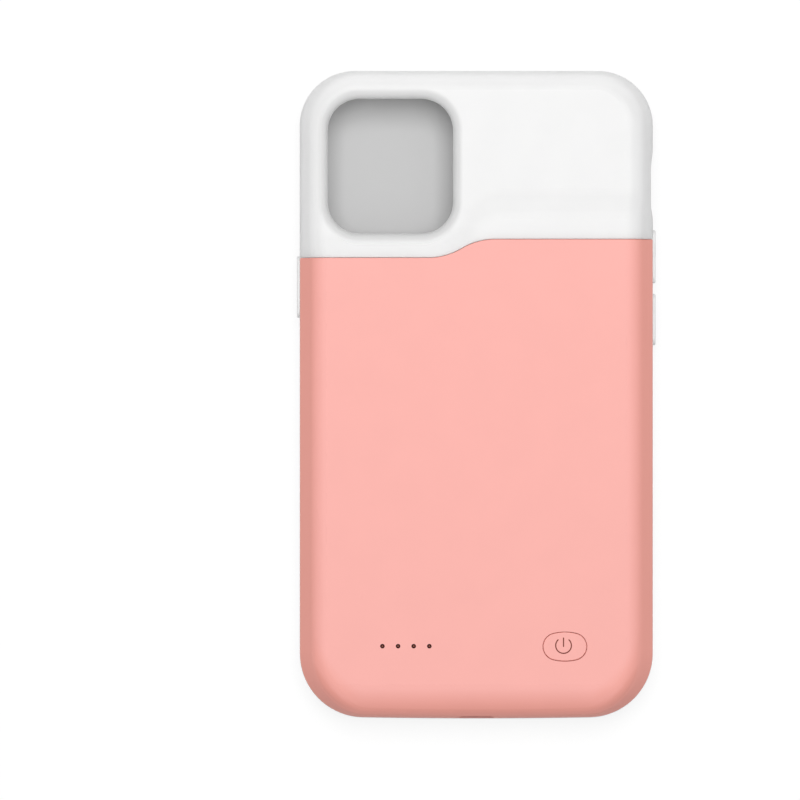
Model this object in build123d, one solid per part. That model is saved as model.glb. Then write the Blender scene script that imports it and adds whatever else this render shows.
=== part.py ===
from build123d import *
from math import atan, atan2, degrees, radians, tan
import os

# Outer size
case_width = 84.9
case_length = 155.6
case_thickness = 16.2
top_corner_radius = 13.2
bottom_corner_radius = 15.4
bottom_bulge = 0.6
back_edge_radius = 4.4
side_lean = 30.0
end_lean = 8.0
shoulder_radius = 5.0
front_edge_radius = 1.8
half_width = case_width / 2
top_end = case_length / 2
bottom_end = -case_length / 2

# Frame and pocket
side_wall = 2.4
lip_overlap = 1.0
lip_thickness = 1.1
lip_edge_radius = 0.45
pocket_depth = 8.3
split_height = lip_thickness + pocket_depth
pocket_side = half_width - side_wall
pocket_bottom = bottom_end + side_wall
key_level = lip_thickness + pocket_depth / 2

# Camera panel, lower than the battery back, and the ramp between them
panel_drop = 0.8
panel_height = case_thickness - panel_drop
ramp_length = 7.4
ramp_left_from_top = 42.2
ramp_left = top_end - ramp_left_from_top
ramp_right_from_top = 31.9
ramp_right = top_end - ramp_right_from_top
ramp_turn_start = -9.5
ramp_turn_end = 6.5

# Camera window
window_from_side = 21.8
window_x = -half_width + window_from_side
window_from_top = 22.92
window_y = top_end - window_from_top
window_width = 30.1
window_length = 32.4
window_radius = 7.6
window_rounding = 2.3
window_flare = 55.0

# Seam between the battery cover and the camera panel
seam_left_from_top = 44.9
seam_left = top_end - seam_left_from_top
seam_right_from_top = 40.45
seam_right = top_end - seam_right_from_top
seam_turn_start = -11.6
seam_turn_end = 4.5
seam_gap = 0.08
seam_edge_radius = 0.15

# Battery cover
cover_step = 0.08
cover_wall = 1.1
cover_inset = cover_step + cover_wall
cover_ceiling = case_thickness - cover_wall
cover_edge_radius = back_edge_radius - cover_step
crown_radius = 11.0
crown_from_bottom = 8.3
crown_start = bottom_end + crown_from_bottom
crown_angle = 60.0

# Ringer switch opening and the scoop round it, in the right wall
ringer_from_top = 27.9
ringer_y = top_end - ringer_from_top
ringer_length = 9.0
ringer_width = 4.8
ringer_radius = 1.6
scoop_upper_from_top = 18.9
scoop_upper = top_end - scoop_upper_from_top
scoop_upper_floor_from_top = 23.2
scoop_upper_floor = top_end - scoop_upper_floor_from_top
scoop_lower_floor_from_top = 32.7
scoop_lower_floor = top_end - scoop_lower_floor_from_top
scoop_lower_from_top = 35.4
scoop_lower = top_end - scoop_lower_from_top
scoop_depth = 0.5

# Side keys
volume_up_from_top = 44.6
volume_up_y = top_end - volume_up_from_top
volume_up_length = 13.0
volume_down_from_top = 59.7
volume_down_y = top_end - volume_down_from_top
volume_down_length = 12.6
side_key_from_top = 51.9
side_key_y = top_end - side_key_from_top
side_key_length = 15.0
key_width = 3.2
key_proud = 0.68
key_clearance = 0.12
key_flange_extra = 0.8
key_flange_thickness = 0.5
key_recess_depth = 0.9
key_rest_gap = 0.05
key_edge_radius = 0.35

# Sound holes in the bottom wall
sound_hole = 1.7
sound_pitch = 2.7
sound_first = 14.0
sound_count = 4

# Power button in the back
button_from_side = 21.25
button_x = half_width - button_from_side
button_from_bottom = 17.4
button_y = bottom_end + button_from_bottom
button_width = 10.74
button_length = 7.22
button_side_radius = 3.36
button_gap = 0.18
button_edge_radius = 0.15
button_flange_thickness = 0.5
button_flange_extra = 0.8
button_rest_gap = 0.05

# Status lights
led_from_side = 25.52
led_x = -half_width + led_from_side
led_from_bottom = 17.5
led_y = bottom_end + led_from_bottom
led_pitch = 3.75
led_count = 4
led_hole = 1.1
led_chip_width = 1.0
led_chip_length = 0.6
led_chip_height = 0.4
pipe_tip = 0.86
pipe_sink = 0.12
pipe_bar_width = 1.8
pipe_bar_height = 0.7
pipe_foot = 1.3
pipe_air = 0.15

# Inner tray
tray_thickness = 0.9
tray_fit = 0.15
tray_top = split_height + tray_thickness
rail_thickness = 0.8
rail_height = 1.4
rail_fit = 0.3

# Cell
cell_side_gap = 7.45
cell_width = case_width - 2 * cell_side_gap
cell_from_bottom = 31.8
cell_bottom = bottom_end + cell_from_bottom
cell_seam_gap = 4.3
cell_top = seam_left - cell_seam_gap
cell_thickness = 4.2
cell_corner_radius = 2.0
cell_edge_radius = 1.2
tape_thickness = 0.15
tape_margin = 4.0
cell_base = tray_top + tape_thickness
protection_width = 34.0
protection_length = 4.0
protection_thickness = 0.8
lead_diameter = 0.9
lead_spots = (-5.0, 5.0)
lead_reach = 2.6
lead_landing = 0.4
lead_bend = 1.0
lead_overhang = 0.3

# Main board
board_thickness = 0.8
board_rise = 0.6
board_base = tray_top + board_rise
board_top = board_base + board_thickness
board_from_bottom = 25.3
board_upper = bottom_end + board_from_bottom
board_margin = 1.7
boss_diameter = 3.2
screw_diameter = 1.4
screw_clearance = 0.1
screw_head_diameter = 2.6
screw_head_height = 0.5
screw_bite = 0.45
screw_slot_width = 0.35
screw_slot_length = 1.5
screw_slot_depth = 0.25
screw_upper_from_side = 11.45
screw_upper_x = half_width - screw_upper_from_side
screw_edge_gap = 3.5
screw_upper_y = board_upper - screw_edge_gap
screw_lower_from_side = 16.95
screw_lower_x = half_width - screw_lower_from_side
screw_lower_from_bottom = 8.3
screw_lower_y = bottom_end + screw_lower_from_bottom

# Power switch on the board
switch_side = 4.6
switch_height = 1.3
switch_edge_radius = 0.4
switch_bore = 2.2
switch_bore_depth = 0.75
plunger_diameter = 1.9
plunger_depth = 0.35
plunger_rise = 0.4

# Charging port
port_width = 8.0
port_height = 2.4
port_depth = 7.3
port_wall = 0.3
port_floor = 0.3
port_rest_gap = 0.05
port_level = split_height + port_floor + port_rest_gap + port_height / 2
port_from_bottom = 1.05
port_mouth = bottom_end + port_from_bottom
port_clearance = 0.15
port_board_gap = 0.13
port_tab_reach = 1.15
port_tab_length = 2.4
port_tab_thickness = 0.3
port_tab_back = 3.75
port_tab_y = port_mouth + port_tab_back
port_block_depth = 1.6
port_bed_width = 5.4
port_bed_length = 4.4
port_bed_thickness = 0.25
contact_count = 8
contact_pitch = 0.66
contact_width = 0.34
contact_length = 4.0
contact_thickness = 0.1

# Phone plug
plug_recess_width = 22.4
plug_recess_depth = 1.25
plug_recess_drop = 2.9
plug_board_fit = 0.4
plug_board_width = plug_recess_width - 2 * plug_board_fit
plug_board_length = 5.0
plug_board_thickness = 0.5
plug_plate_thickness = 0.55
plug_plate_fit = 0.1
plug_block_width = 10.4
plug_block_height = 3.6
plug_tongue_width = 6.7
plug_tongue_thickness = 1.5
plug_tongue_length = 6.6
plug_tongue_edge_radius = 0.5
ribbon_width = 4.4
ribbon_edge_gap = 0.3
ribbon_x = plug_board_width / 2 - ribbon_edge_gap - ribbon_width / 2
ribbon_thickness = 0.16
ribbon_foot = 7.0
ribbon_landing = 2.6
ribbon_notch_width = 5.0
ribbon_notch_depth = 1.0

# Parts standing on the board: x, distance below the board's upper edge, width, length, height
chips = ((0.0, 7.7, 5.0, 5.0, 0.9), (10.6, 4.7, 3.0, 3.0, 0.8), (-27.2, 11.0, 4.0, 3.0, 0.9))
inductor_x = -8.6
inductor_edge_gap = 13.5
inductor_y = board_upper - inductor_edge_gap
inductor_side = 5.2
inductor_height = 1.9
inductor_corner_radius = 0.9
capacitor_spots = ((6.2, 3.1), (-4.0, 3.5), (10.8, 9.7), (14.4, 15.7), (-15.0, 14.5), (-19.2, 3.1))
capacitor_width = 1.6
capacitor_length = 0.8
capacitor_height = 0.8

# Reach of the cutting shapes past the outside, play when edges are picked by place, and the upward
# part of a direction below which a face counts as a wall
beyond = 5.0
tolerance = 0.01
wall_slope = 0.6


def plan(side, end):
    """Outline of the case in plan, moved in by one distance at the sides and another at the ends."""
    edge = half_width - side
    high = top_end - end
    low = bottom_end + bottom_bulge + end
    right = Line((edge, low), (edge, high))
    top = Line((edge, high), (-edge, high))
    left = Line((-edge, high), (-edge, low))
    bottom = ThreePointArc((-edge, low), (0, bottom_end + end), (edge, low))
    face = make_face([right, top, left, bottom])
    face = fillet(face.vertices().group_by(Axis.Y)[-1], top_corner_radius - end)
    return fillet(face.vertices().group_by(Axis.Y)[0], bottom_corner_radius - end)


def outline(inset):
    """Outline of the case, moved in by the same distance all round."""
    return plan(inset, inset)


def slab(face, low, high):
    """Flat face raised between two heights."""
    return Pos(0, 0, low) * extrude(face, high - low)


def hump(inset, top):
    """Battery hump on the frame's split: its long sides lean in and its ends stand almost upright."""
    rise = top - split_height
    foot = Pos(0, 0, split_height) * plan(inset, inset)
    side = inset + rise * tan(radians(side_lean))
    end = inset + rise * tan(radians(end_lean))
    return loft([foot, Pos(0, 0, top) * plan(side, end)], ruled=True)


def crown(inset):
    """Room under the back, which rounds over towards the bottom end, moved in by the given distance."""
    radius = crown_radius - inset
    top = case_thickness - inset
    fall = CenterArc((crown_start, case_thickness - crown_radius), radius, 90, crown_angle)
    low = fall @ 1
    rest = Polyline((low.X, low.Y), (low.X, 0), (case_length, 0), (case_length, top), (crown_start, top))
    side = Plane(origin=(-case_width, 0, 0), x_dir=(0, 1, 0), z_dir=(1, 0, 0))
    return extrude(side * make_face([fall, *rest.edges()]), 2 * case_width)


def block(x, y, low, width, length, height):
    """Box standing at a height, centred on x and y."""
    return Pos(x, y, low) * Box(width, length, height, align=(Align.CENTER, Align.CENTER, Align.MIN))


def peg(x, y, low, diameter, height):
    """Upright round peg."""
    return Pos(x, y, low) * Cylinder(diameter / 2, height, align=(Align.CENTER, Align.CENTER, Align.MIN))


def step_arc(run, rise):
    """Radius and angle of the two equal arcs that make a smooth step."""
    radius = (run ** 2 + rise ** 2) / (4 * rise)
    return radius, degrees(2 * atan(rise / run))


def seam_side(shift):
    """Battery side of the seam in plan, moved down by the given distance."""
    reach = case_length
    low = seam_left - shift
    high = seam_right - shift
    radius, angle = step_arc(seam_turn_end - seam_turn_start, seam_right - seam_left)
    first = CenterArc((seam_turn_start, low + radius), radius, -90, angle)
    second = CenterArc((seam_turn_end, high - radius), radius, 90 + angle, -angle)
    left = Line((-reach, low), (seam_turn_start, low))
    right = Line((seam_turn_end, high), (reach, high))
    rest = Polyline((reach, high), (reach, -reach), (-reach, -reach), (-reach, low))
    return make_face([left, first, second, right, *rest.edges()])


def ramp_section():
    """Air over the ramp seen across it, from the battery back down to the camera panel."""
    half = ramp_length / 2
    lid = case_thickness + beyond
    radius, angle = step_arc(ramp_length, panel_drop)
    crest = CenterArc((-half, case_thickness - radius), radius, 90, -angle)
    toe = CenterArc((half, panel_height + radius), radius, 270 - angle, angle)
    rest = Polyline((half, panel_height), (half, lid), (-half, lid), (-half, case_thickness))
    return make_face([crest, toe, *rest.edges()])


def panel_air():
    """Everything above the camera panel and the ramp that bends round the camera window."""
    reach = case_width
    half = ramp_length / 2
    radius, angle = step_arc(ramp_turn_end - ramp_turn_start, ramp_right - ramp_left)
    section = Plane(origin=(0, 0, 0), x_dir=(0, 1, 0), z_dir=(1, 0, 0)) * ramp_section()
    turn_start = Pos(ramp_turn_start, ramp_left, 0) * section
    turn_end = Pos(ramp_turn_end, ramp_right, 0) * section
    swing = (ramp_turn_start, ramp_left + radius)
    counter = (ramp_turn_end, ramp_right - radius)
    left = Pos(-reach, ramp_left, 0) * extrude(section, reach + ramp_turn_start)
    right = extrude(turn_end, reach - ramp_turn_end)
    first = revolve(turn_start, Axis((*swing, 0), (0, 0, 1)), angle)
    second = revolve(turn_end, Axis((*counter, 0), (0, 0, 1)), angle)
    toe_first = CenterArc(swing, radius - half, -90, angle)
    toe_second = CenterArc(counter, radius + half, 90 + angle, -angle)
    left_toe = ramp_left + half
    right_toe = ramp_right + half
    edges = [Line((-reach, left_toe), (ramp_turn_start, left_toe)), toe_first, toe_second]
    edges += [Line((ramp_turn_end, right_toe), (reach, right_toe))]
    rest = Polyline((reach, right_toe), (reach, case_length), (-reach, case_length), (-reach, left_toe))
    edges += rest.edges()
    flat = slab(make_face(edges), panel_height, case_thickness + beyond)
    return left + first + second + right + flat


def walls(body):
    """Upright and leaning faces of a body."""
    return [f for f in body.faces() if abs(f.normal_at(f.center()).Z) < wall_slope]


def wall_edges(body, shared):
    """Edges that lie on two walls, or on one wall only."""
    edges = [e for face in walls(body) for e in face.edges()]
    return [e for e in edges if (sum(e.is_same(other) for other in edges) > 1) == shared]


def back_rim(body):
    """Edges where the leaning walls meet the back."""
    return [e for e in wall_edges(body, False) if e.center().Z > split_height + tolerance]


def shoulder(body):
    """Edges where the upright walls begin to lean in."""
    edges = [e for e in wall_edges(body, True) if abs(e.center().Z - split_height) < tolerance]
    return [e for i, e in enumerate(edges) if not any(e.is_same(other) for other in edges[:i])]


def frame_body():
    """Outside of the frame with its panel, ramp and rounded edges, before it is hollowed."""
    body = slab(outline(0), 0, split_height) + hump(0, case_thickness)
    body = fillet(shoulder(body), shoulder_radius) - panel_air()
    body = fillet(back_rim(body), back_edge_radius)
    return fillet(body.edges().group_by(Axis.Z)[0], front_edge_radius)


def window_tool():
    """Camera window with a rounded mouth."""
    hole = RectangleRounded(window_width, window_length, window_radius)
    mouth = offset(hole, window_rounding)
    collar = offset(hole, 2 * window_rounding)
    ring = slab(collar - hole, panel_height - 2 * window_rounding, panel_height)
    inner = ring.faces().sort_by(Axis.Z)[-1].inner_wires()[0].edges()
    ring = fillet(inner, window_rounding)
    rounding = slab(mouth, panel_height - window_rounding, panel_height) - ring
    flare = Pos(0, 0, panel_height) * extrude(mouth, beyond, taper=-window_flare)
    bore = slab(hole, lip_thickness, panel_height)
    return Pos(window_x, window_y, 0) * (bore + rounding + flare)


def scoop_tool():
    """Shallow scoop down the right wall beside the ringer switch."""
    floor = half_width - scoop_depth
    out = half_width + beyond
    points = [(half_width, scoop_upper), (floor, scoop_upper_floor), (floor, scoop_lower_floor)]
    points += [(half_width, scoop_lower)]
    points += [(out, scoop_lower), (out, scoop_upper)]
    return slab(make_face(Polyline(*points, close=True)), -beyond, case_thickness + beyond)


def side_plane(side):
    """Plane through the middle of the case that looks out of one side wall."""
    return Plane(origin=(0, 0, 0), x_dir=(0, side, 0), z_dir=(side, 0, 0))


def wall_bar(face, side, y, near, far):
    """Flat face driven sideways through a wall, between two distances from the middle."""
    return Pos(side * near, y, key_level) * extrude(side_plane(side) * face, far - near)


def key_slot_tool(side, y, length):
    """Slot for one side key with the recess for its flange."""
    spread = 2 * key_flange_extra + 2 * key_clearance
    slot = wall_bar(SlotOverall(length, key_width), side, y, pocket_side - beyond / 2, half_width + beyond)
    face = SlotOverall(length + spread, key_width + spread)
    recess = wall_bar(face, side, y, pocket_side - beyond / 2, pocket_side + key_recess_depth)
    return slot + recess


def bumper_frame():
    """White flexible frame: lip, pocket walls, camera panel and window."""
    frame = frame_body()
    frame -= slab(seam_side(0), split_height, case_thickness + beyond)
    seam = [e for e in frame.edges() if e.center().Z > case_thickness - tolerance]
    seam = [e for e in seam if abs(e.center().Y - seam_right) < tolerance]
    frame = fillet(seam, seam_edge_radius)
    frame -= slab(outline(side_wall), lip_thickness, split_height)
    frame -= slab(outline(side_wall + lip_overlap), -beyond, lip_thickness)
    mouth = frame.faces().sort_by(Axis.Z)[0].inner_wires()[0].edges()
    frame = fillet(mouth, lip_edge_radius)
    frame -= window_tool()
    frame -= scoop_tool()
    ringer = RectangleRounded(ringer_length, ringer_width, ringer_radius)
    frame -= wall_bar(ringer, 1, ringer_y, pocket_side - beyond / 2, half_width + beyond)
    frame -= key_slot_tool(1, volume_up_y, volume_up_length)
    frame -= key_slot_tool(1, volume_down_y, volume_down_length)
    frame -= key_slot_tool(-1, side_key_y, side_key_length)
    recess_floor = pocket_bottom - plug_recess_depth
    recess_low = key_level - plug_recess_drop
    recess_height = split_height + beyond - recess_low
    middle = recess_floor + beyond / 2
    frame -= block(0, middle, recess_low, plug_recess_width, beyond, recess_height)
    hole = Rot(90, 0, 0) * Cylinder(sound_hole / 2, 2 * beyond)
    for count in range(sound_count):
        for side in (-1, 1):
            spot = side * (sound_first + count * sound_pitch)
            frame -= Pos(spot, pocket_bottom, key_level) * hole
    return frame


def side_key(side, y, length):
    """Key that slides in a side wall, held by its flange."""
    slim = 2 * key_clearance
    spread = 2 * key_flange_extra
    seat = pocket_side + key_recess_depth - key_rest_gap
    cap = wall_bar(SlotOverall(length - slim, key_width - slim), side, y, seat, half_width + key_proud)
    cap = fillet(cap.faces().sort_by(Axis.X)[-1 if side > 0 else 0].edges(), key_edge_radius)
    flange = SlotOverall(length + spread, key_width + spread)
    return cap + wall_bar(flange, side, y, seat - key_flange_thickness, seat)


def button_face(grow):
    """Oval outline of the power button, made of four arcs, grown by the given distance."""
    wide = button_width / 2 - button_side_radius
    high = button_length / 2
    long_radius = (wide ** 2 + high ** 2 - button_side_radius ** 2) / (2 * (high - button_side_radius))
    turn = degrees(atan2(long_radius - high, wide))
    spread = 180 - 2 * turn
    right = CenterArc((wide, 0), button_side_radius + grow, -turn, 2 * turn)
    top = CenterArc((0, high - long_radius), long_radius + grow, turn, spread)
    left = CenterArc((-wide, 0), button_side_radius + grow, 180 - turn, 2 * turn)
    bottom = CenterArc((0, long_radius - high), long_radius + grow, 180 + turn, spread)
    return Pos(button_x, button_y) * make_face([right, top, left, bottom])


def screw_spots():
    """Plan positions of the four board screws."""
    upper = [(side * screw_upper_x, screw_upper_y) for side in (-1, 1)]
    return upper + [(side * screw_lower_x, screw_lower_y) for side in (-1, 1)]


def led_spots():
    """Plan positions of the four lights."""
    first = led_x - led_pitch * (led_count - 1) / 2
    return [(first + count * led_pitch, led_y) for count in range(led_count)]


def port_bar(width, height, near, far):
    """Oval bar along the length of the case at the level of the charging port."""
    upright = Plane(origin=(0, near, port_level), x_dir=(-1, 0, 0), z_dir=(0, 1, 0))
    return extrude(upright * SlotOverall(width, height), far - near)


def battery_cover():
    """Pink hard cover, hollow, with its holes for button, lights and charging port."""
    body = hump(cover_step, case_thickness) & crown(0)
    body = fillet(back_rim(body), cover_edge_radius)
    body = body & slab(seam_side(seam_gap), split_height - beyond, case_thickness + beyond)
    edge = [e for e in body.edges() if e.center().Z > case_thickness - tolerance]
    edge = [e for e in edge if abs(e.center().Y - seam_right + seam_gap) < tolerance]
    body = fillet(edge, seam_edge_radius)
    hollow = hump(cover_inset, cover_ceiling) & crown(cover_wall)
    hollow = fillet(back_rim(hollow), cover_edge_radius - cover_wall)
    hollow = hollow & slab(seam_side(seam_gap + cover_wall), split_height - 2 * beyond, case_thickness)
    cover = body - hollow
    cover -= slab(button_face(0), split_height, case_thickness + beyond)
    for x, y in led_spots():
        cover -= peg(x, y, split_height, led_hole, case_thickness)
    near = bottom_end - beyond
    spread = 2 * port_clearance
    cover -= port_bar(port_width + spread, port_height + spread, near, port_mouth + port_depth / 2)
    return cover


def inner_tray():
    """Plate behind the phone with rails round the cell and bosses for the board."""
    tray = hump(cover_inset + tray_fit, tray_top)
    tray = tray & slab(seam_side(seam_gap + cover_wall + tray_fit), 0, case_thickness)
    length = cell_top - cell_bottom
    middle = (cell_top + cell_bottom) / 2
    rail_x = cell_width / 2 + rail_fit + rail_thickness / 2
    for side in (-1, 1):
        tray += block(side * rail_x, middle, tray_top, rail_thickness, length - 2 * tape_margin, rail_height)
    rail_y = cell_top + rail_fit + rail_thickness / 2
    tray += block(0, rail_y, tray_top, cell_width - 2 * tape_margin, rail_thickness, rail_height)
    for x, y in screw_spots():
        tray += peg(x, y, tray_top, boss_diameter, board_rise)
        tray -= peg(x, y, board_base - screw_bite, screw_diameter, screw_bite)
    edge = bottom_end + cover_inset + tray_fit
    tray -= block(ribbon_x, edge, split_height, ribbon_notch_width, 2 * ribbon_notch_depth, tray_thickness)
    bay = port_width + 2 * port_board_gap
    back = port_mouth + port_depth + port_board_gap
    tray -= block(0, back - beyond, split_height + port_floor, bay, 2 * beyond, tray_thickness)
    return tray


def battery_cell():
    """Flat pouch cell with soft edges."""
    face = RectangleRounded(cell_width, cell_top - cell_bottom, cell_corner_radius)
    cell = slab(face, cell_base, cell_base + cell_thickness)
    rims = cell.edges().group_by(Axis.Z)
    cell = fillet(rims[0] + rims[-1], cell_edge_radius)
    return Pos(0, (cell_top + cell_bottom) / 2, 0) * cell


def cell_tape():
    """Adhesive sheet between the tray and the cell."""
    middle = (cell_top + cell_bottom) / 2
    length = cell_top - cell_bottom - 2 * tape_margin
    return block(0, middle, tray_top, cell_width - 2 * tape_margin, length, tape_thickness)


protection_base = cell_base + cell_thickness / 2 - protection_thickness / 2
protection_top = protection_base + protection_thickness


def cell_protection_board():
    """Small board across the bottom end of the cell."""
    middle = cell_bottom - protection_length / 2
    return block(0, middle, protection_base, protection_width, protection_length, protection_thickness)


def battery_leads():
    """Two short wires from the cell's board to the main board."""
    leads = []
    radius = lead_diameter / 2
    for x in lead_spots:
        start = (x, cell_bottom - protection_length / 2, protection_top + radius)
        knee = (x, cell_bottom - protection_length - lead_overhang, protection_top + radius)
        end = (x, board_upper - lead_reach, board_top + radius)
        landing = (x, board_upper - lead_landing, board_top + radius)
        path = FilletPolyline(start, knee, landing, end, radius=lead_bend)
        section = Plane(origin=start, z_dir=(0, -1, 0)) * Circle(radius)
        leads.append(sweep(section, path))
    return leads


def main_board():
    """Circuit board in the chin, cut out round the charging port."""
    chin = Pos(0, board_upper - case_length / 2) * Rectangle(case_width, case_length)
    face = outline(cover_inset + board_margin) & chin
    board = slab(face, board_base, board_top)
    gap = port_width + 2 * port_board_gap
    back = port_mouth + port_depth + port_board_gap
    board -= block(0, back - beyond, board_base, gap, 2 * beyond, board_thickness)
    for x, y in screw_spots():
        board -= peg(x, y, board_base, screw_diameter + screw_clearance, board_thickness)
    return board


def board_screws():
    """Four small cross-head screws."""
    screws = []
    for x, y in screw_spots():
        screw = peg(x, y, board_base - screw_bite, screw_diameter, screw_bite + board_thickness)
        screw += peg(x, y, board_top, screw_head_diameter, screw_head_height)
        floor = board_top + screw_head_height - screw_slot_depth
        screw -= block(x, y, floor, screw_slot_length, screw_slot_width, screw_slot_depth)
        screw -= block(x, y, floor, screw_slot_width, screw_slot_length, screw_slot_depth)
        screws.append(screw)
    return screws


def control_chips():
    """Flat chips on the board."""
    return [block(x, board_upper - down, board_top, *size) for x, down, *size in chips]


def power_inductor():
    """Square coil block."""
    face = RectangleRounded(inductor_side, inductor_side, inductor_corner_radius)
    return Pos(inductor_x, inductor_y, 0) * slab(face, board_top, board_top + inductor_height)


def capacitors():
    """Small capacitors on the board."""
    size = (capacitor_width, capacitor_length, capacitor_height)
    return [block(x, board_upper - down, board_top, *size) for x, down in capacitor_spots]


def status_leds():
    """Four light chips under the light pipe."""
    size = (led_chip_width, led_chip_length, led_chip_height)
    return [block(x, y, board_top, *size) for x, y in led_spots()]


def light_pipe():
    """Clear bar under the cover, with a post into each light hole and a foot over each light."""
    bar_base = cover_ceiling - pipe_bar_height
    foot_base = board_top + led_chip_height + pipe_air
    length = led_pitch * (led_count - 1) + pipe_bar_width
    pipe = Pos(led_x, led_y, 0) * slab(SlotOverall(length, pipe_bar_width), bar_base, cover_ceiling)
    for x, y in led_spots():
        pipe += peg(x, y, cover_ceiling, pipe_tip, cover_wall - pipe_sink)
        pipe += peg(x, y, foot_base, pipe_foot, bar_base - foot_base)
    return pipe


switch_top = board_top + switch_height
flange_top = cover_ceiling - button_rest_gap


def power_button():
    """Rounded button, level with the back, with a flange under the cover."""
    cap = slab(button_face(-button_gap), flange_top, case_thickness)
    cap = fillet(cap.faces().sort_by(Axis.Z)[-1].edges(), button_edge_radius)
    flange = slab(button_face(button_flange_extra), flange_top - button_flange_thickness, flange_top)
    stem_base = switch_top + plunger_rise
    stem = peg(button_x, button_y, stem_base, switch_bore, flange_top - button_flange_thickness - stem_base)
    return cap + flange + stem


def switch_plunger():
    """Plunger of the push switch, carried by the button."""
    return peg(button_x, button_y, switch_top - plunger_depth, plunger_diameter, plunger_depth + plunger_rise)


def power_switch():
    """Body of the push switch."""
    face = RectangleRounded(switch_side, switch_side, switch_edge_radius)
    body = Pos(button_x, button_y, 0) * slab(face, board_top, switch_top)
    return body - peg(button_x, button_y, switch_top - switch_bore_depth, switch_bore, switch_bore_depth)


def charging_port():
    """Metal shell of the charging socket with its two solder tabs."""
    far = port_mouth + port_depth
    inner_width = port_width - 2 * port_wall
    inner_height = port_height - 2 * port_wall
    shell = port_bar(port_width, port_height, port_mouth, far)
    reach = 2 * (port_width / 2 + port_tab_reach)
    shell += block(0, port_tab_y, board_top, reach, port_tab_length, port_tab_thickness)
    return shell - port_bar(inner_width, inner_height, port_mouth, far)


def port_block():
    """Insulating block at the back of the socket with the bed for the contacts."""
    far = port_mouth + port_depth
    near = far - port_block_depth
    rear = port_bar(port_width - 2 * port_wall, port_height - 2 * port_wall, near, far)
    low = port_level - port_height / 2 + port_wall
    middle = near - port_bed_length / 2
    return rear + block(0, middle, low, port_bed_width, port_bed_length, port_bed_thickness)


def port_contacts():
    """Row of contact strips on the bed of the socket."""
    near = port_mouth + port_depth - port_block_depth
    low = port_level - port_height / 2 + port_wall + port_bed_thickness
    first = -contact_pitch * (contact_count - 1) / 2
    size = (contact_width, contact_length, contact_thickness)
    spots = [first + count * contact_pitch for count in range(contact_count)]
    return [block(x, near - contact_length / 2, low, *size) for x in spots]


plug_floor = pocket_bottom - plug_recess_depth
plug_board_face = plug_floor + plug_board_thickness
plug_plate_back = pocket_bottom - plug_plate_thickness


def plug_board():
    """Small board standing in the bottom wall behind the plug."""
    middle = (plug_floor + plug_board_face) / 2
    low = key_level - plug_board_length / 2
    return block(0, middle, low, plug_board_width, plug_board_thickness, plug_board_length)


def plug_base():
    """Plate that closes the recess round the plug, with the block it stands on."""
    width = plug_recess_width - 2 * plug_plate_fit
    low = key_level - plug_recess_drop + plug_plate_fit
    height = split_height - plug_plate_fit - low
    plate = block(0, pocket_bottom - plug_plate_thickness / 2, low, width, plug_plate_thickness, height)
    middle = (plug_board_face + plug_plate_back) / 2
    depth = plug_plate_back - plug_board_face
    rear_low = key_level - plug_block_height / 2
    return plate + block(0, middle, rear_low, plug_block_width, depth, plug_block_height)


def plug_tongue():
    """Flat tongue that enters the phone."""
    upright = Plane(origin=(0, pocket_bottom, key_level), x_dir=(-1, 0, 0), z_dir=(0, 1, 0))
    tongue = extrude(upright * SlotOverall(plug_tongue_width, plug_tongue_thickness), plug_tongue_length)
    return fillet(tongue.faces().sort_by(Axis.Y)[-1].edges(), plug_tongue_edge_radius)


def plug_ribbon():
    """Flat ribbon from the plug's board up to the underside of the main board."""
    near = plug_board_face
    far = near + ribbon_thickness
    low = board_base - ribbon_thickness
    end = far + ribbon_landing
    points = [(near, ribbon_foot), (far, ribbon_foot), (far, low)]
    points += [(end, low), (end, board_base), (near, board_base)]
    side = Plane(origin=(ribbon_x - ribbon_width / 2, 0, 0), x_dir=(0, 1, 0), z_dir=(1, 0, 0))
    return extrude(side * make_face(Polyline(*points, close=True)), ribbon_width)


os.makedirs("parts", exist_ok=True)

pieces = {
    "bumper_frame": bumper_frame(),
    "battery_cover": battery_cover(),
    "inner_tray": inner_tray(),
    "volume_up_key": side_key(1, volume_up_y, volume_up_length),
    "volume_down_key": side_key(1, volume_down_y, volume_down_length),
    "side_key": side_key(-1, side_key_y, side_key_length),
    "power_button": power_button(),
    "switch_plunger": switch_plunger(),
    "power_switch": power_switch(),
    "status_leds": status_leds(),
    "light_pipe": light_pipe(),
    "charging_port": charging_port(),
    "port_block": port_block(),
    "port_contacts": port_contacts(),
    "main_board": main_board(),
    "control_chips": control_chips(),
    "power_inductor": power_inductor(),
    "capacitors": capacitors(),
    "board_screws": board_screws(),
    "plug_base": plug_base(),
    "plug_tongue": plug_tongue(),
    "plug_board": plug_board(),
    "plug_ribbon": plug_ribbon(),
    "battery_cell": battery_cell(),
    "cell_tape": cell_tape(),
    "cell_protection_board": cell_protection_board(),
    "battery_leads": battery_leads(),
}

for name, piece in pieces.items():
    if isinstance(piece, list):
        piece = Compound(piece)
    export_step(piece, f"parts/{name}.step")
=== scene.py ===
from math import cos, radians, sin, sqrt

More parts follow.
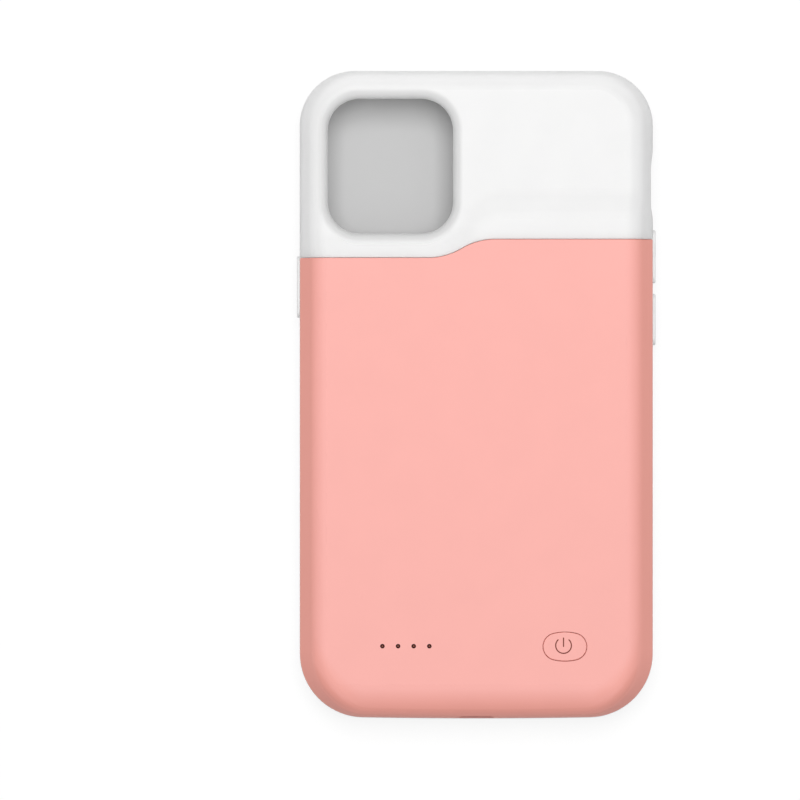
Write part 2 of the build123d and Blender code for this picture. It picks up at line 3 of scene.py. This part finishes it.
import bmesh
import bpy
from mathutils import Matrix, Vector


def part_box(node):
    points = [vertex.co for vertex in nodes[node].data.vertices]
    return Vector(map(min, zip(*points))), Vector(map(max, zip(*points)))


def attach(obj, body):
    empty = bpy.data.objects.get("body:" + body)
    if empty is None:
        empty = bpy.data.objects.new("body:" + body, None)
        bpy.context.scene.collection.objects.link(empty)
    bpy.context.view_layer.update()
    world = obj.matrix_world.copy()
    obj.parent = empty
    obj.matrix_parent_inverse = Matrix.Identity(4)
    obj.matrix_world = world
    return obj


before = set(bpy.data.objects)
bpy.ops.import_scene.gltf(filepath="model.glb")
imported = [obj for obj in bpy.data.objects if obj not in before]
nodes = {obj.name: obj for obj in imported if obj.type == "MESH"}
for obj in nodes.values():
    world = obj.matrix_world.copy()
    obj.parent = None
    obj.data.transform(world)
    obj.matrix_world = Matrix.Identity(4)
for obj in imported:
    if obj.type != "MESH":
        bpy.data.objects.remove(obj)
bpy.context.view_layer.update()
scene = bpy.context.scene
scene.view_settings.view_transform = "Standard"

MM = 0.001

# Camera straight above the back, with the case right of the picture's middle as in the photograph.
# VIEW_WIDTH is what it sees at OUTLINE_HEIGHT, where the case is widest
CAMERA_SPOT = (-18.34 * MM, -1.27 * MM)
CAMERA_HEIGHT = 3.0
CAMERA_NEAR = 10 * MM
OUTLINE_HEIGHT = 8.5 * MM
VIEW_WIDTH = 192.3 * MM
SENSOR = 36.0

# Light from all round, as it falls on the case and as it is seen, and the soft panel overhead
AMBIENT = 0.376
AMBIENT_SEEN = 1.0
OVERHEAD_POWER = 11.2
OVERHEAD_SPOT = (0.0, 0.32, 1.2)
OVERHEAD_SIZE = 0.8

# Floor: tone that lights the case, tone and glow by which it is seen, and tone under the case,
# where it has no glow, so that the camera window reads as an opening
FLOOR_HALF = 2.0
FLOOR_BOUNCE = 0.5
FLOOR_SEEN = 0.2
FLOOR_GLOW = 0.82
FLOOR_COVERED = 0.6
COVERED_INSET = 2.3 * MM
COVERED_CORNER = 12 * MM

# Mouldings: faint wide tone changes, uneven gloss and the usual size of the surface grain
MOTTLE = 0.007
MOTTLE_SIZE = 9 * MM
MOTTLE_STOPS = (0.35, 0.65)
GLOSS_SIZE = 0.9 * MM
GLOSS_SPREAD = 0.05
GRAIN = 0.2 * MM

# Lean from level, in degrees, at which a face counts fully as a flank
STEEP_LEAN = 60

# Cover: its back, painted light on its flanks, where the tone turns redder, and painted shade over its
# rounded bottom end
PINK = (0.95, 0.447, 0.403)
PINK_PAINTED_FLANK_LIGHT = (1.0, 0.428, 0.363)
PINK_PAINTED_SHADE = (0.895, 0.376, 0.317)
PINK_SHEEN = (1.0, 0.25, 0.15, 1.0)

# Share of the cover's painted shade colour: it grows as the surface tips towards the bottom end or
# round a corner, lies in a band round the lower corners, and fades out on the flanks
END_START = 0.1
END_GAIN = 2.2
CORNER_GAIN = 8.0
BAND_CORNER = 30 * MM
BAND_INSIDE = 3 * MM
BAND_WIDTH = 6 * MM
BAND_SHARE = ((0.1, 0.0), (0.5, 0.55), (0.65, 0.55), (1.0, 0.0))
FLANK_FADE = ((0.47, 1.0), (0.9, 0.0))

# Frame: its back, painted light on its flanks, and painted shade on the ramp up to the battery and
# round the rim of the camera window
WHITE = (0.832, 0.831, 0.83)
WHITE_PAINTED_FLANK_LIGHT = (0.97, 0.97, 0.97)
WHITE_PAINTED_SLOPE_SHADE = (0.793, 0.792, 0.791)
WHITE_PAINTED_RIM_SHADE = (0.69, 0.69, 0.688)
SILICONE_DEPTH = 3 * MM

# Share of the frame's painted slope shade, by how far the surface faces the camera end
SLOPE_SHARE = ((0.0, 0.0), (0.12, 1.0), (0.25, 1.0), (0.5, 0.0))

# Share of the painted shade round the camera window: it fades outwards from the window and on upright
# faces, and is larger where the rim faces the camera end
WINDOW_SPOT = (-20.65 * MM, 54.88 * MM)
WINDOW_HALF = (15.05 * MM, 16.2 * MM)
WINDOW_CORNER = 7.6 * MM
RIM_WIDTH = 2.5 * MM
RIM_FADE = ((0.58, 1.0), (1.0, 0.0))
RIM_UP_GAIN = 3.0
RIM_SHARE = 0.67
RIM_TILT = 0.33

# Lay of drawing lines across and along the case, and of the lining's fibres
DRAWN_ACROSS = (0.15, 1.0, 1.0)
DRAWN_ALONG = (1.0, 0.15, 1.0)
FIBRE_LAY = (1.0, 0.35, 1.0)

# Circuit board tracks
TRACK_CELL = 6 * MM
TRACK_WIDTH = 0.03
TRACK_SOFTNESS = 0.2

# Posts of the light pipe, from the middle of a post to its edge: a painted highlight in the middle,
# the smoky tone in the ring and painted shade at the edge
POST_PITCH = 3.75 * MM
POST_RADIUS = 0.43 * MM
POST_PAINTED_HIGHLIGHT = (0.3, 0.1, 0.07)
POST_RING = (0.06, 0.012, 0.008)
POST_PAINTED_EDGE_SHADE = (0.03, 0.006, 0.004)

# Power sign on the button
SIGN_SPOT = (20.87 * MM, -60.13 * MM)
SIGN_RADIUS = 1.88 * MM
SIGN_STROKE = 0.28 * MM
SIGN_OPENING = 44
SIGN_BAR_TOP = 1.92 * MM
SIGN_BAR_FOOT = -0.35 * MM
SIGN_RISE = 0.012 * MM
SIGN_SINK = 0.01 * MM
SIGN_RING_STEPS = 64
SIGN_END_STEPS = 6

# Contact pads on the phone plug
PAD_COUNT = 8
PAD_PITCH = 0.62 * MM
PAD_WIDTH = 0.36 * MM
PAD_LENGTH = 2.3 * MM
PAD_INSET = 1.1 * MM
PAD_RISE = 0.03 * MM
PAD_SINK = 0.02 * MM
PAD_END_STEPS = 4

# Narrowest a stroke's round end gets, as a share of its width
END_LEAST = 0.06


def link(obj):
    """Puts a new object in the scene."""
    scene.collection.objects.link(obj)
    return obj


def grey(level):
    """Colour with three equal parts."""
    return (level,) * 3


def shade(colour, amount):
    """Colour made lighter or darker."""
    return tuple(min(1.0, part * amount) for part in colour)


class Nodes:
    """Writes one material's node tree."""

    def __init__(self, name):
        self.material = bpy.data.materials.new(name)
        self.material.use_nodes = True
        self.tree = self.material.node_tree
        self.shader = self.tree.nodes["Principled BSDF"]

    def feed(self, socket, value):
        """Sets a socket, or links another node's socket to it."""
        if isinstance(value, bpy.types.NodeSocket):
            self.tree.links.new(value, socket)
        else:
            socket.default_value = value

    def set(self, **values):
        """Values or links for the shader's own sockets."""
        for key, value in values.items():
            self.feed(self.shader.inputs[key.replace("_", " ")], value)

    def math(self, operation, *values):
        """One arithmetic node."""
        node = self.tree.nodes.new("ShaderNodeMath")
        node.operation = operation
        for socket, value in zip(node.inputs, values):
            self.feed(socket, value)
        return node.outputs[0]

    def place(self):
        """Position in the frame, in metres."""
        return self.tree.nodes.new("ShaderNodeTexCoord").outputs["Object"]

    def axes(self, vector):
        """The three parts of a vector."""
        node = self.tree.nodes.new("ShaderNodeSeparateXYZ")
        self.feed(node.inputs[0], vector)
        return node.outputs

    def facing(self, kind="Normal"):
        """The three parts of the direction that the surface faces."""
        return self.axes(self.tree.nodes.new("ShaderNodeNewGeometry").outputs[kind])

    def steepness(self):
        """0 on faces that look straight up, 1 on those that lean STEEP_LEAN or more from that."""
        drop = self.math("SUBTRACT", 1.0, self.facing()[2])
        return self.math("DIVIDE", drop, 1 - cos(radians(STEEP_LEAN)))

    def length(self, *parts):
        """Length of a vector in plan, from its two parts."""
        return self.math("SQRT", self.math("ADD", *(self.math("POWER", part, 2.0) for part in parts)))

    def beyond(self, middle, half, corner):
        """Distance in plan past the edge of a rounded rectangle."""
        past = []
        for part, centre, reach in zip(self.axes(self.place()), middle, half):
            off = self.math("ABSOLUTE", self.math("SUBTRACT", part, centre))
            past.append(self.math("MAXIMUM", self.math("SUBTRACT", off, reach - corner), 0.0))
        return self.math("SUBTRACT", self.length(*past), corner)

    def noise(self, size, detail=3.0, stretch=(1.0, 1.0, 1.0)):
        """Soft noise with grains of the given size in metres."""
        scale = self.tree.nodes.new("ShaderNodeMapping")
        self.feed(scale.inputs["Vector"], self.place())
        scale.inputs["Scale"].default_value = stretch
        node = self.tree.nodes.new("ShaderNodeTexNoise")
        self.feed(node.inputs["Vector"], scale.outputs[0])
        node.inputs["Scale"].default_value = 1 / size
        node.inputs["Detail"].default_value = detail
        return node.outputs[0]

    def ramp(self, value, *stops):
        """Colour ramp through (position, colour) stops."""
        node = self.tree.nodes.new("ShaderNodeValToRGB")
        self.feed(node.inputs[0], value)
        elements = node.color_ramp.elements
        while len(elements) < len(stops):
            elements.new(1.0)
        for element, (position, colour) in zip(elements, stops):
            element.position = position
            element.color = (*colour, 1.0)
        return node.outputs[0]

    def fade(self, value, stops):
        """Plain value through (position, level) stops."""
        return self.ramp(value, *((position, grey(level)) for position, level in stops))

    def tones(self, value, dark, pale, stops=(0.3, 0.7)):
        """Colour that goes from dark to pale between the two stops of a noise."""
        return self.ramp(value, *zip(stops, (dark, pale)))

    def span(self, value, low, high):
        """Maps 0..1 to a range of plain values."""
        node = self.tree.nodes.new("ShaderNodeMapRange")
        self.feed(node.inputs[0], value)
        node.inputs["To Min"].default_value = low
        node.inputs["To Max"].default_value = high
        return node.outputs[0]

    def mix(self, share, first, second):
        """Blend of two colours."""
        node = self.tree.nodes.new("ShaderNodeMix")
        node.data_type = "RGBA"
        self.feed(node.inputs[0], share)
        for socket, value in zip(node.inputs[6:8], (first, second)):
            self.feed(socket, value if isinstance(value, bpy.types.NodeSocket) else (*value, 1.0))
        return node.outputs[2]

    def bump(self, height, depth):
        """Surface relief of the given depth in metres."""
        node = self.tree.nodes.new("ShaderNodeBump")
        self.feed(node.inputs["Height"], height)
        node.inputs["Distance"].default_value = depth
        return node.outputs[0]


def mottled(m, colour):
    """Colour with faint, wide tone changes."""
    dark, pale = shade(colour, 1 - MOTTLE), shade(colour, 1 + MOTTLE)
    return m.tones(m.noise(MOTTLE_SIZE), dark, pale, MOTTLE_STOPS)


def moulded(name, rough, depth, grain, specular):
    """Surface of moulded plastic, without its colour: a fine spark-eroded grain and uneven gloss."""
    m = Nodes(name)
    m.set(Roughness=m.span(m.noise(GLOSS_SIZE), rough - GLOSS_SPREAD, rough + GLOSS_SPREAD))
    m.set(Normal=m.bump(m.noise(grain, detail=2.0), depth))
    m.set(Specular_IOR_Level=specular)
    return m


def plastic(name, colour, rough, depth, grain=GRAIN, specular=0.5):
    """Moulded plastic of one colour."""
    m = moulded(name, rough, depth, grain, specular)
    m.set(Base_Color=mottled(m, colour))
    return m.material


def cover_pink():
    """Satin hard plastic with painted light on the flanks, where the tone turns redder, and painted
    shade over the rounded bottom end and lower corners.
    """
    m = moulded("cover_pink", rough=0.5, depth=0.006 * MM, grain=0.16 * MM, specular=0.25)
    steep = m.steepness()
    # Painted light: the flanks take a redder tone, standing in for how light falls on them
    painted_flank_light = m.mix(steep, mottled(m, PINK), mottled(m, PINK_PAINTED_FLANK_LIGHT))
    # Painted shade: the cover darkens as it tips towards the bottom end, round the corners and in a
    # band round the lower corners
    across, along, _ = m.facing()
    end = m.math("MULTIPLY", m.math("ADD", along, END_START), -END_GAIN)
    turned = m.math("ABSOLUTE", m.math("MULTIPLY", across, along))
    corner = m.math("MULTIPLY", turned, CORNER_GAIN)
    past = m.beyond((0.0, 0.0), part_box("bumper_frame")[1].xy, BAND_CORNER)
    inside = m.math("DIVIDE", m.math("ADD", past, BAND_INSIDE), BAND_WIDTH)
    lower_half = m.math("LESS_THAN", m.axes(m.place())[1], 0.0)
    painted_shade_band = m.math("MULTIPLY", m.fade(inside, BAND_SHARE), lower_half)
    painted_shade_share = m.math("MAXIMUM", m.math("MAXIMUM", end, corner), painted_shade_band)
    # Share of the painted shade, which fades out on the flanks; it is mixed into the colour below
    low = m.math("MULTIPLY", painted_shade_share, m.fade(steep, FLANK_FADE))
    m.set(Base_Color=m.mix(low, painted_flank_light, mottled(m, PINK_PAINTED_SHADE)))
    m.set(Sheen_Weight=0.2, Sheen_Tint=PINK_SHEEN)
    return m.material


def frame_white():
    """Translucent soft silicone, with painted light that makes the flanks paler and painted shade that
    makes the ramp and the window's rim greyer.
    """
    m = moulded("frame_white", rough=0.42, depth=0.005 * MM, grain=0.22 * MM, specular=0.4)
    _, along, up = m.facing()
    # Painted shade on the ramp, greyer where it faces the camera end
    painted_slope_shade = m.fade(along, SLOPE_SHARE)
    backs = m.mix(painted_slope_shade, mottled(m, WHITE), mottled(m, WHITE_PAINTED_SLOPE_SHADE))
    # Painted light: the flanks are made paler
    painted_flank_light = m.mix(m.steepness(), backs, mottled(m, WHITE_PAINTED_FLANK_LIGHT))
    # Painted shade round the rim of the camera window
    past = m.beyond(WINDOW_SPOT, WINDOW_HALF, WINDOW_CORNER)
    near = m.fade(m.math("DIVIDE", past, RIM_WIDTH), RIM_FADE)
    not_upright = m.math("MINIMUM", m.math("MULTIPLY", up, RIM_UP_GAIN), 1.0)
    tilt = m.math("ADD", RIM_SHARE, m.math("MULTIPLY", along, RIM_TILT))
    painted_rim_shade = m.math("MULTIPLY", m.math("MULTIPLY", near, not_upright), tilt)
    m.set(Base_Color=m.mix(painted_rim_shade, painted_flank_light, mottled(m, WHITE_PAINTED_RIM_SHADE)))
    m.set(Sheen_Weight=0.2, Subsurface_Weight=0.6)
    m.set(Subsurface_Radius=(1.0, 1.0, 1.0), Subsurface_Scale=SILICONE_DEPTH)
    return m.material


def metal(name, colour, rough, stretch):
    """Brushed or plated metal with fine drawing lines."""
    m = Nodes(name)
    lines = m.noise(0.12 * MM, detail=4.0, stretch=stretch)
    m.set(Base_Color=m.tones(lines, dark=shade(colour, 0.9), pale=shade(colour, 1.05)))
    m.set(Roughness=m.span(lines, low=rough - 0.08, high=rough + 0.08))
    m.set(Normal=m.bump(lines, depth=0.004 * MM))
    m.set(Metallic=1.0)
    return m.material


def lining_grey():
    """Soft flocked lining of the tray that the phone lies on."""
    m = Nodes("tray_lining")
    fibres = m.noise(0.25 * MM, detail=5.0, stretch=FIBRE_LAY)
    m.set(Base_Color=m.tones(fibres, dark=(0.62, 0.62, 0.63), pale=(0.8, 0.8, 0.81)))
    m.set(Roughness=m.span(fibres, low=0.85, high=1.0))
    m.set(Normal=m.bump(fibres, depth=0.05 * MM))
    m.set(Specular_IOR_Level=0.2, Sheen_Weight=0.25)
    return m.material


def board_green():
    """Circuit board: solder mask with fine copper tracks under it."""
    m = Nodes("board_green")
    tracks = m.tree.nodes.new("ShaderNodeTexBrick")
    m.feed(tracks.inputs["Vector"], m.place())
    tracks.inputs["Scale"].default_value = 1 / TRACK_CELL
    tracks.inputs["Mortar Size"].default_value = TRACK_WIDTH
    tracks.inputs["Mortar Smooth"].default_value = TRACK_SOFTNESS
    lines = tracks.outputs["Fac"]
    mask = m.tones(m.noise(2 * MM), dark=(0.018, 0.12, 0.05), pale=(0.025, 0.15, 0.065))
    copper = (0.07, 0.3, 0.12)
    m.set(Base_Color=m.mix(lines, mask, copper))
    m.set(Roughness=m.span(m.noise(0.5 * MM), low=0.25, high=0.4))
    m.set(Normal=m.bump(lines, depth=0.02 * MM))
    return m.material


def pouch_silver():
    """Laminated foil of the cell, slightly crumpled."""
    m = Nodes("pouch_silver")
    folds = m.noise(7 * MM, detail=6.0)
    m.set(Base_Color=m.tones(folds, dark=(0.56, 0.56, 0.58), pale=(0.7, 0.7, 0.72)))
    m.set(Roughness=m.span(m.noise(1.5 * MM), low=0.28, high=0.42))
    m.set(Normal=m.bump(folds, depth=0.25 * MM))
    m.set(Metallic=0.9)
    return m.material


def capacitor_tan():
    """Ceramic chips with tinned ends, which face across the case."""
    m = Nodes("capacitor_tan")
    across = m.facing("True Normal")[0]
    ends = m.math("GREATER_THAN", m.math("ABSOLUTE", across), 0.5)
    body = m.tones(m.noise(0.3 * MM), dark=(0.42, 0.3, 0.18), pale=(0.52, 0.38, 0.24))
    tin = (0.7, 0.7, 0.7)
    m.set(Base_Color=m.mix(ends, body, tin))
    m.set(Metallic=ends, Roughness=m.span(m.noise(0.2 * MM), low=0.35, high=0.5))
    return m.material


def lead_pair():
    """One black and one red wire, told apart by their side."""
    m = Nodes("lead_pair")
    right = m.math("GREATER_THAN", m.axes(m.place())[0], 0.0)
    black, red = (0.02, 0.02, 0.02), (0.55, 0.03, 0.03)
    m.set(Base_Color=m.mix(right, black, red))
    m.set(Roughness=m.span(m.noise(0.4 * MM), low=0.3, high=0.45))
    m.set(Normal=m.bump(m.noise(0.3 * MM), depth=0.01 * MM))
    return m.material


def light_pipe_smoke():
    """Smoky clear plastic: each post ends in a dark ring, with a painted highlight in its middle and
    painted shade at its edge.
    """
    m = Nodes("pipe_smoke")
    low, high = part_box("light_pipe")
    middle = (low + high) / 2
    x, y, _ = m.axes(m.place())
    posts = m.math("DIVIDE", m.math("SUBTRACT", x, middle.x), POST_PITCH)
    across = m.math("MULTIPLY", m.math("SUBTRACT", m.math("FRACT", posts), 0.5), POST_PITCH)
    along = m.math("SUBTRACT", y, middle.y)
    reach = m.math("DIVIDE", m.length(across, along), POST_RADIUS)
    # Painted highlight in each post's middle and painted shade towards its edge, round the smoky ring
    m.set(Base_Color=m.ramp(reach, (0.15, POST_PAINTED_HIGHLIGHT), (0.6, POST_RING), (1.0, POST_PAINTED_EDGE_SHADE)))
    m.set(Roughness=m.span(m.noise(0.2 * MM), low=0.6, high=0.75))
    m.set(Normal=m.bump(m.noise(0.15 * MM), depth=0.004 * MM))
    m.set(Specular_IOR_Level=0.15)
    return m.material


def paint(material, *names):
    """Gives CAD nodes their material."""
    for name in names:
        mesh = nodes[name].data
        mesh.materials.clear()
        mesh.materials.append(material)


def paint_all():
    """Materials of all the CAD nodes."""
    paint(cover_pink(), "battery_cover", "power_button")
    paint(frame_white(), "bumper_frame")
    paint(plastic("key_white", (0.88, 0.878, 0.875), rough=0.36, depth=0.004 * MM),
          "volume_up_key", "volume_down_key", "side_key")
    paint(plastic("plug_white", (0.82, 0.82, 0.815), rough=0.45, depth=0.006 * MM), "plug_base")
    paint(plastic("dark_plastic", (0.03, 0.03, 0.032), rough=0.45, depth=0.01 * MM),
          "switch_plunger", "port_block", "control_chips")
    paint(plastic("coil_grey", (0.14, 0.14, 0.15), rough=0.6, depth=0.02 * MM, grain=0.15 * MM),
          "power_inductor")
    paint(plastic("led_cream", (0.88, 0.82, 0.58), rough=0.25, depth=0.004 * MM), "status_leds")
    paint(plastic("tape_white", (0.84, 0.84, 0.82), rough=0.8, depth=0.02 * MM, grain=0.3 * MM,
                  specular=0.3), "cell_tape")
    paint(plastic("ribbon_amber", (0.6, 0.29, 0.05), rough=0.22, depth=0.006 * MM, grain=0.4 * MM),
          "plug_ribbon")
    paint(metal("socket_metal", (0.68, 0.68, 0.69), rough=0.28, stretch=DRAWN_ACROSS),
          "charging_port", "plug_tongue")
    paint(metal("switch_metal", (0.6, 0.6, 0.61), rough=0.34, stretch=DRAWN_ALONG),
          "power_switch", "board_screws")
    paint(metal("contact_gold", (0.83, 0.6, 0.24), rough=0.24, stretch=DRAWN_ALONG),
          "port_contacts")
    paint(lining_grey(), "inner_tray")
    paint(board_green(), "main_board", "plug_board", "cell_protection_board")
    paint(pouch_silver(), "battery_cell")
    paint(capacitor_tan(), "capacitors")
    paint(lead_pair(), "battery_leads")
    paint(light_pipe_smoke(), "light_pipe")


def strip(name, sections, low, high):
    """Closed flat strip through (x, y, direction across, half width) sections, between two heights."""
    mesh = bpy.data.meshes.new(name)
    form = bmesh.new()
    rings = []
    for x, y, (across_x, across_y), half in sections:
        ring = []
        for side, z in ((-1, low), (1, low), (1, high), (-1, high)):
            spot = (x + side * half * across_x, y + side * half * across_y, z)
            ring.append(form.verts.new(spot))
        rings.append(ring)
    for first, second in zip(rings, rings[1:]):
        for i in range(4):
            j = (i + 1) % 4
            form.faces.new((first[i], first[j], second[j], second[i]))
    form.faces.new(rings[0][::-1])
    form.faces.new(rings[-1])
    bmesh.ops.recalc_face_normals(form, faces=form.faces)
    form.to_mesh(mesh)
    form.free()
    return link(bpy.data.objects.new(name, mesh))


def round_end(half, steps):
    """(distance, half width) pairs from a stroke's last full point to the tip of its round end."""
    least = END_LEAST * half
    distances = [half * i / steps for i in range(steps + 1)]
    return [(d, sqrt(max(half ** 2 - d ** 2, least ** 2))) for d in distances]


def stroke(x, near, far, half, steps):
    """Sections of a straight stroke along Y with round ends past its two full points."""
    ends = round_end(half, steps)
    sections = [(x, near - d, (1, 0), width) for d, width in reversed(ends)]
    return sections + [(x, far + d, (1, 0), width) for d, width in ends]


def power_sign():
    """Open ring and bar on the power button."""
    half = SIGN_STROKE / 2
    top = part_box("power_button")[1].z
    x, y = SIGN_SPOT
    ends = round_end(half, SIGN_END_STEPS)
    start = radians(90 + SIGN_OPENING)
    stop = radians(450 - SIGN_OPENING)
    step = (stop - start) / SIGN_RING_STEPS
    angles = [(start - d / SIGN_RADIUS, width) for d, width in reversed(ends)]
    angles += [(start + step * i, half) for i in range(1, SIGN_RING_STEPS)]
    angles += [(stop + d / SIGN_RADIUS, width) for d, width in ends]
    ring = []
    for angle, width in angles:
        out = (cos(angle), sin(angle))
        ring.append((x + SIGN_RADIUS * out[0], y + SIGN_RADIUS * out[1], out, width))
    bar = stroke(x, y + SIGN_BAR_FOOT + half, y + SIGN_BAR_TOP - half, half, SIGN_END_STEPS)
    ink = plastic("sign_ink", (0.19, 0.045, 0.03), rough=0.7, depth=0.003 * MM, grain=0.1 * MM,
                  specular=0.12)
    for name, sections in (("power_sign_ring", ring), ("power_sign_bar", bar)):
        piece = strip(name, sections, top - SIGN_SINK, top + SIGN_RISE)
        piece.data.materials.append(ink)
        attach(piece, "power_button")


def plug_pads():
    """Row of plated pads on both faces of the phone plug."""
    low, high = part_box("plug_tongue")
    gold = nodes["port_contacts"].data.materials[0]
    half = PAD_WIDTH / 2
    far = high.y - PAD_INSET - half
    near = far - PAD_LENGTH
    faces = (("back", high.z - PAD_SINK, high.z + PAD_RISE),
             ("front", low.z - PAD_RISE, low.z + PAD_SINK))
    for face, base, top in faces:
        for count in range(PAD_COUNT):
            x = (count - (PAD_COUNT - 1) / 2) * PAD_PITCH
            sections = stroke(x, near, far, half, PAD_END_STEPS)
            pad = strip(f"plug_pad_{face}_{count + 1}", sections, base, top)
            pad.data.materials.append(gold)
            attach(pad, "case")


def seen_rays(tree):
    """1 for the rays by which the background is seen, straight or in metal and glass."""
    rays = tree.nodes.new("ShaderNodeLightPath").outputs
    seen = rays["Is Camera Ray"]
    for kind in ("Is Transmission Ray", "Is Glossy Ray"):
        either = tree.nodes.new("ShaderNodeMath")
        either.operation = "MAXIMUM"
        tree.links.new(seen, either.inputs[0])
        tree.links.new(rays[kind], either.inputs[1])
        seen = either.outputs[0]
    return seen


def white_floor():
    """White floor that keeps the case's shadow."""
    mesh = bpy.data.meshes.new("floor")
    signs = ((-1, -1), (1, -1), (1, 1), (-1, 1))
    mesh.from_pydata([(x * FLOOR_HALF, y * FLOOR_HALF, 0) for x, y in signs], [], [(0, 1, 2, 3)])
    floor = link(bpy.data.objects.new("floor", mesh))
    m = Nodes("floor")
    half = [limit - COVERED_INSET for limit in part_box("bumper_frame")[1].xy]
    open_floor = m.math("GREATER_THAN", m.beyond((0.0, 0.0), half, COVERED_CORNER), 0.0)
    seen = m.math("MULTIPLY", seen_rays(m.tree), open_floor)
    colour = m.mix(seen, grey(FLOOR_BOUNCE), grey(FLOOR_SEEN))
    m.set(Base_Color=m.mix(open_floor, grey(FLOOR_COVERED), colour))
    m.set(Roughness=1.0, Specular_IOR_Level=0.0)
    m.set(Emission_Color=(*grey(1.0), 1.0), Emission_Strength=m.math("MULTIPLY", seen, FLOOR_GLOW))
    mesh.materials.append(m.material)


def sky():
    """White light from all round."""
    world = bpy.data.worlds.new("studio")
    world.use_nodes = True
    tree = world.node_tree
    strength = tree.nodes.new("ShaderNodeMapRange")
    strength.inputs["To Min"].default_value = AMBIENT
    strength.inputs["To Max"].default_value = AMBIENT_SEEN
    tree.links.new(seen_rays(tree), strength.inputs["Value"])
    background = tree.nodes["Background"]
    background.inputs["Color"].default_value = (*grey(1.0), 1.0)
    tree.links.new(strength.outputs[0], background.inputs["Strength"])
    scene.world = world


def overhead_panel():
    """Large soft lamp above the case, towards its camera end."""
    lamp = bpy.data.lights.new("overhead", "AREA")
    lamp.shape = "SQUARE"
    lamp.size = OVERHEAD_SIZE
    lamp.energy = OVERHEAD_POWER
    overhead = link(bpy.data.objects.new("overhead", lamp))
    overhead.location = OVERHEAD_SPOT


def camera():
    """Camera straight above the case."""
    eye = link(bpy.data.objects.new("camera", bpy.data.cameras.new("camera")))
    eye.location = (*CAMERA_SPOT, CAMERA_HEIGHT)
    eye.data.sensor_width = SENSOR
    eye.data.lens = SENSOR * (CAMERA_HEIGHT - OUTLINE_HEIGHT) / VIEW_WIDTH
    eye.data.clip_start = CAMERA_NEAR
    scene.camera = eye


camera()
paint_all()
power_sign()
plug_pads()
white_floor()
sky()
overhead_panel()
